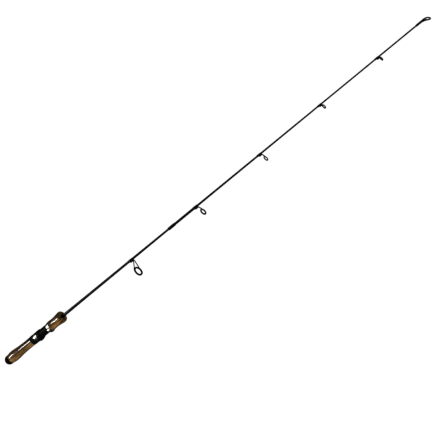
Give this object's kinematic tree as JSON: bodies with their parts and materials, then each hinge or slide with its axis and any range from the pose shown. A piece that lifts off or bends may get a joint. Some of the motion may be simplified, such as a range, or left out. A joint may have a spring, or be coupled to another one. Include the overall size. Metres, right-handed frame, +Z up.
{
  "type": "fishing rod",
  "caption": "Slender fishing rod that parts at a ferrule, with turned wooden grips, a reel seat with a screw-driven sliding hood, line guides and a tip top.",
  "frame": {"origin": "centre of the flat on the end of the butt cap, on the rod's axis", "axes": "+X along the rod from the butt to the tip, -Y towards the side that the reel and the guides are on, +Z up with the rod lying on its side"},
  "size_m": [1.3766, 0.06, 0.0278],
  "materials": {
    "cap_rubber": "satin",
    "lacquered_wood": "high gloss lacquer",
    "seat_plastic": "semi-gloss",
    "polished_metal": "polished",
    "dark_metal": "satin",
    "arbor": "matt",
    "blank": "gloss",
    "thread": "gloss resin over thread",
    "guide_metal": "dark gunmetal gloss",
    "ring_ceramic": "polished"
  },
  "bodies": {
    "handle": {"butt_cap": "cap_rubber", "rear_grip": "lacquered_wood", "foregrip": "lacquered_wood", "winding_check": "seat_plastic", "seat_barrel": "seat_plastic", "fixed_hood": "polished_metal", "fixed_hood_rivet": "dark_metal", "rear_arbor": "arbor", "front_arbor": "arbor", "butt_blank": "blank", "guide_1_frame": "guide_metal", "guide_1_ring": "ring_ceramic", "guide_1_wrap": "thread"},
    "hood": {"sliding_hood": "seat_plastic", "hood_band": "polished_metal"},
    "nut": {"locking_nut": "seat_plastic"},
    "tip_section": {"tip_blank": "blank", "ferrule_wrap": "thread", "guide_2_frame": "guide_metal", "guide_2_ring": "ring_ceramic", "guide_2_wrap": "thread", "guide_3_frame": "guide_metal", "guide_3_ring": "ring_ceramic", "guide_3_wrap": "thread", "guide_4_frame": "guide_metal", "guide_4_ring": "ring_ceramic", "guide_4_wrap": "thread", "guide_5_frame": "guide_metal", "guide_5_ring": "ring_ceramic", "guide_5_wrap": "thread", "tip_top_frame": "guide_metal", "tip_top_ring": "ring_ceramic"}
  },
  "joints": [
    {"name": "hood_slide", "type": "slide", "parent": "handle", "child": "hood", "axis": [1, 0, 0], "range_m": [0, 0.01401]},
    {"name": "nut_spin", "type": "hinge", "parent": "hood", "child": "nut", "pos_m": [0.118, 0, 0], "axis": [1, 0, 0], "range_deg": [0, 2520]},
    {"name": "tip_section_slide", "type": "slide", "parent": "handle", "child": "tip_section", "axis": [1, 0, 0], "range_m": [0, 0.07]}
  ],
  "couplings": [
    {"joint": "hood_slide", "follows": "nut_spin", "m_per_rad": 0.00031831}
  ]
}
